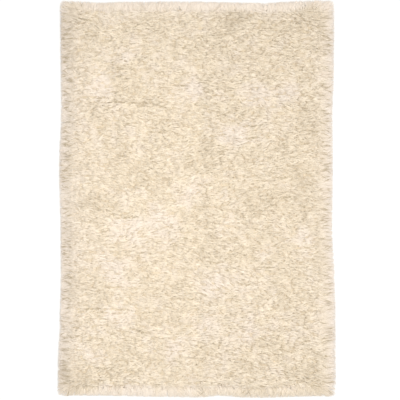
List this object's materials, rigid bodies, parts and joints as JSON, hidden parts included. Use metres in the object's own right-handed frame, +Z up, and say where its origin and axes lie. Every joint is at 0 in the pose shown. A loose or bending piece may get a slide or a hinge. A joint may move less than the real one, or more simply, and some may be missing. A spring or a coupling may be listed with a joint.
{
  "type": "shag rug",
  "caption": "Rectangular long-pile wool shag rug lying flat, with a lumpy matted pile, soft fold creases and combed locks round its rim.",
  "frame": {"origin": "on the floor under the middle of the rug's bounding box, at its underside", "axes": "+X across the rug, +Y along its length, +Z up through the pile"},
  "size_m": [1.6266, 2.3314, 0.051],
  "materials": {
    "cream_wool": "matte long wool pile"
  },
  "bodies": {
    "root": {"shag_rug": "cream_wool"}
  },
  "joints": []
}
